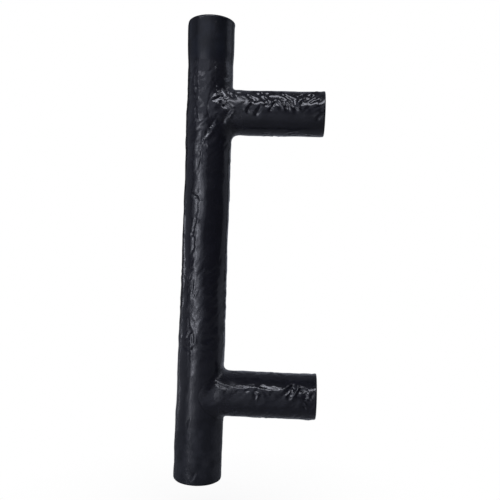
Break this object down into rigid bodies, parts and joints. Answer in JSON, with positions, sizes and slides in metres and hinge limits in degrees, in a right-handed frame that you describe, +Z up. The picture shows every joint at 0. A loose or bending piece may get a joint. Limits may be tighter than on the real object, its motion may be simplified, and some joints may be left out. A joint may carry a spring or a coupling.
{
  "type": "bar pull handle",
  "caption": "Hammered black bar pull handle: a round tube grip on round tube posts with blended saddle welds, and tapped feet for bolts through the door.",
  "frame": {"origin": "on the door face, midway between the centres of the upper and lower fixing holes", "axes": "+Z up along the grip; +Y into the door, square to the feet; the grip stands off towards -Y; +X to the right of someone facing the door"},
  "size_m": [0.0266, 0.0791, 0.261],
  "materials": {
    "black_powder_coat": "semi-gloss black powder coat over hammered steel",
    "insert_steel": "turned mild steel, coated on its face and bare in the thread"
  },
  "bodies": {
    "root": {"grip_tube": "black_powder_coat", "top_end_cap": "black_powder_coat", "bottom_end_cap": "black_powder_coat", "top_cap_weld": "black_powder_coat", "bottom_cap_weld": "black_powder_coat", "upper_post": "black_powder_coat", "lower_post": "black_powder_coat", "upper_saddle_weld": "black_powder_coat", "lower_saddle_weld": "black_powder_coat", "upper_foot_weld": "black_powder_coat", "lower_foot_weld": "black_powder_coat", "upper_threaded_insert": "insert_steel", "lower_threaded_insert": "insert_steel"}
  },
  "joints": []
}
